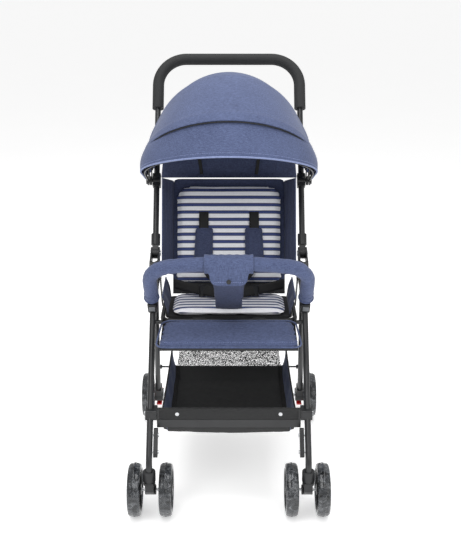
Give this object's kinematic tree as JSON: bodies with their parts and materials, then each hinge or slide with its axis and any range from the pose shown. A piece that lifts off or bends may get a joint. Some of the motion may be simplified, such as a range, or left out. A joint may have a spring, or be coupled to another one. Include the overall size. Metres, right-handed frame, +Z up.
{
  "type": "baby stroller",
  "caption": "Folding baby stroller with swivel front casters, a hood on bows, a padded reclining seat, a bumper bar, a tilting calf rest and a shopping basket.",
  "frame": {"origin": "on the ground, midway between the front and rear ends, on the centre plane", "axes": "+Z up, +Y towards the rear and the person who pushes, +X to the seated child's left"},
  "size_m": [0.514, 0.67, 1.045],
  "materials": {
    "frame_paint": "satin black powder coat on steel tube",
    "steel": "zinc plated",
    "black_plastic": "fine moulded texture",
    "grey_button": "moulded",
    "brake_red": "moulded",
    "tyre_smoke": "smoky clear soft plastic",
    "rim_plastic": "moulded",
    "grip_foam": "closed cell foam",
    "denim": "blue chambray weave",
    "stripe_cloth": "white cloth with blue stripes",
    "board": "moulded sheet",
    "webbing": "woven nylon tape",
    "basket_cloth": "black oxford cloth",
    "basket_net": "open black net"
  },
  "bodies": {
    "rear_axle": {"rear_axle": "steel"},
    "rear_legs": {"rear_legs": "frame_paint", "rear_feet": "black_plastic", "rear_knuckles": "black_plastic", "rear_cross_rod": "frame_paint"},
    "front_frame": {"front_legs": "frame_paint", "hinge_housings": "black_plastic", "front_receivers": "black_plastic", "crossbar": "frame_paint", "crossbar_clamps": "black_plastic", "lower_links": "black_plastic", "pins_and_bolts": "steel", "seat_frame": "frame_paint", "seat_hangers": "frame_paint", "seat_board": "board", "seat_pad": "stripe_cloth", "crotch_strap": "denim", "basket": "basket_cloth", "basket_mesh": "basket_net", "bumper_sockets": "black_plastic"},
    "handle": {"handle_tube": "frame_paint", "handle_grip": "grip_foam", "handle_knuckles": "black_plastic", "canopy_clips": "black_plastic", "canopy_rear_panel": "denim", "rear_curtain": "denim"},
    "canopy_rear": {"canopy_bow_rear": "black_plastic", "canopy_main_panel": "denim"},
    "canopy_middle": {"canopy_bow_middle": "black_plastic"},
    "visor": {"canopy_bow_front": "black_plastic", "canopy_visor_panel": "denim"},
    "backrest": {"backrest_board": "board", "backrest_pad": "stripe_cloth", "side_wings": "denim", "shoulder_pads": "denim", "harness_straps": "webbing", "buckle": "black_plastic"},
    "calf_rest": {"calf_board": "board", "calf_pad": "denim"},
    "bumper": {"bumper_tube": "frame_paint", "bumper_pad": "denim", "bumper_cuff": "denim"},
    "lock_sleeve_left": {"lock_sleeve_left": "black_plastic"},
    "bumper_button_left": {"bumper_button_left": "grey_button"},
    "brake_pedal_left": {"brake_pedal_left": "brake_red"},
    "caster_left": {"caster_fork_left": "black_plastic"},
    "front_wheels_left": {"caster_axle_left": "steel", "front_tyres_left": "tyre_smoke", "front_rims_left": "rim_plastic"},
    "rear_wheel_left": {"rear_tyre_left": "tyre_smoke", "rear_rim_left": "rim_plastic"},
    "lock_sleeve_right": {"lock_sleeve_right": "black_plastic"},
    "bumper_button_right": {"bumper_button_right": "grey_button"},
    "brake_pedal_right": {"brake_pedal_right": "brake_red"},
    "caster_right": {"caster_fork_right": "black_plastic"},
    "front_wheels_right": {"caster_axle_right": "steel", "front_tyres_right": "tyre_smoke", "front_rims_right": "rim_plastic"},
    "rear_wheel_right": {"rear_tyre_right": "tyre_smoke", "rear_rim_right": "rim_plastic"}
  },
  "joints": [
    {"name": "rear_leg_fold", "type": "hinge", "parent": "rear_axle", "child": "rear_legs", "pos_m": [0, 0.27, 0.065], "axis": [1, 0, 0], "range_deg": [-23, 0]},
    {"name": "frame_fold", "type": "hinge", "parent": "rear_legs", "child": "front_frame", "pos_m": [0, 0, 0.515], "axis": [1, 0, 0], "range_deg": [0, 46], "deforming": ["basket", "basket_mesh"]},
    {"name": "handle_fold", "type": "hinge", "parent": "front_frame", "child": "handle", "pos_m": [0, 0.04, 0.567], "axis": [1, 0, 0], "range_deg": [-158, 0]},
    {"name": "canopy_fold", "type": "hinge", "parent": "handle", "child": "canopy_rear", "pos_m": [0, 0.1385, 0.7353], "axis": [-1, 0, 0], "range_deg": [0, 36]},
    {"name": "canopy_middle_fold", "type": "hinge", "parent": "canopy_rear", "child": "canopy_middle", "pos_m": [0, 0.1385, 0.7353], "axis": [-1, 0, 0], "range_deg": [0, 28.5]},
    {"name": "visor_fold", "type": "hinge", "parent": "canopy_middle", "child": "visor", "pos_m": [0, 0.1385, 0.7353], "axis": [-1, 0, 0], "range_deg": [0, 11.2]},
    {"name": "backrest_recline", "type": "hinge", "parent": "front_frame", "child": "backrest", "pos_m": [0, 0.085, 0.43], "axis": [1, 0, 0], "range_deg": [-33, 0]},
    {"name": "calf_rest_tilt", "type": "hinge", "parent": "front_frame", "child": "calf_rest", "pos_m": [0, -0.088, 0.43], "axis": [-1, 0, 0], "range_deg": [-55, 0]},
    {"name": "bumper_pull", "type": "slide", "parent": "front_frame", "child": "bumper", "axis": [0, -0.6126, 0.7904], "range_m": [0, 0.045]},
    {"name": "lock_sleeve_left_slide", "type": "slide", "parent": "handle", "child": "lock_sleeve_left", "axis": [0, 0.5051, 0.863], "range_m": [0, 0.01], "stiffness_N_per_m": 300, "springref_m": -0.004},
    {"name": "bumper_button_left_press", "type": "slide", "parent": "front_frame", "child": "bumper_button_left", "axis": [0, 0.7904, 0.6126], "range_m": [0, 0.002], "stiffness_N_per_m": 400, "springref_m": -0.001},
    {"name": "brake_pedal_left_press", "type": "hinge", "parent": "rear_legs", "child": "brake_pedal_left", "pos_m": [0.207, 0.298, 0.066], "axis": [-1, 0, 0], "range_deg": [0, 15]},
    {"name": "caster_left_swivel", "type": "hinge", "parent": "front_frame", "child": "caster_left", "pos_m": [0.188, -0.298, 0.104], "axis": [0, 0, 1], "continuous": true},
    {"name": "front_wheels_left_spin", "type": "hinge", "parent": "caster_left", "child": "front_wheels_left", "pos_m": [0.188, -0.27, 0.065], "axis": [1, 0, 0], "continuous": true},
    {"name": "rear_wheel_left_spin", "type": "hinge", "parent": "rear_axle", "child": "rear_wheel_left", "pos_m": [0.238, 0.27, 0.065], "axis": [1, 0, 0], "continuous": true},
    {"name": "lock_sleeve_right_slide", "type": "slide", "parent": "handle", "child": "lock_sleeve_right", "axis": [0, 0.5051, 0.863], "range_m": [0, 0.01], "stiffness_N_per_m": 300, "springref_m": -0.004},
    {"name": "bumper_button_right_press", "type": "slide", "parent": "front_frame", "child": "bumper_button_right", "axis": [0, 0.7904, 0.6126], "range_m": [0, 0.002], "stiffness_N_per_m": 400, "springref_m": -0.001},
    {"name": "brake_pedal_right_press", "type": "hinge", "parent": "rear_legs", "child": "brake_pedal_right", "pos_m": [-0.207, 0.298, 0.066], "axis": [-1, 0, 0], "range_deg": [0, 15]},
    {"name": "caster_right_swivel", "type": "hinge", "parent": "front_frame", "child": "caster_right", "pos_m": [-0.188, -0.298, 0.104], "axis": [0, 0, 1], "continuous": true},
    {"name": "front_wheels_right_spin", "type": "hinge", "parent": "caster_right", "child": "front_wheels_right", "pos_m": [-0.188, -0.27, 0.065], "axis": [1, 0, 0], "continuous": true},
    {"name": "rear_wheel_right_spin", "type": "hinge", "parent": "rear_axle", "child": "rear_wheel_right", "pos_m": [-0.238, 0.27, 0.065], "axis": [1, 0, 0], "continuous": true}
  ],
  "couplings": [
    {"joint": "rear_leg_fold", "follows": "frame_fold", "ratio": -0.5},
    {"joint": "handle_fold", "follows": "frame_fold", "ratio": -3.4348},
    {"joint": "canopy_middle_fold", "follows": "canopy_fold", "ratio": 0.789}
  ]
}
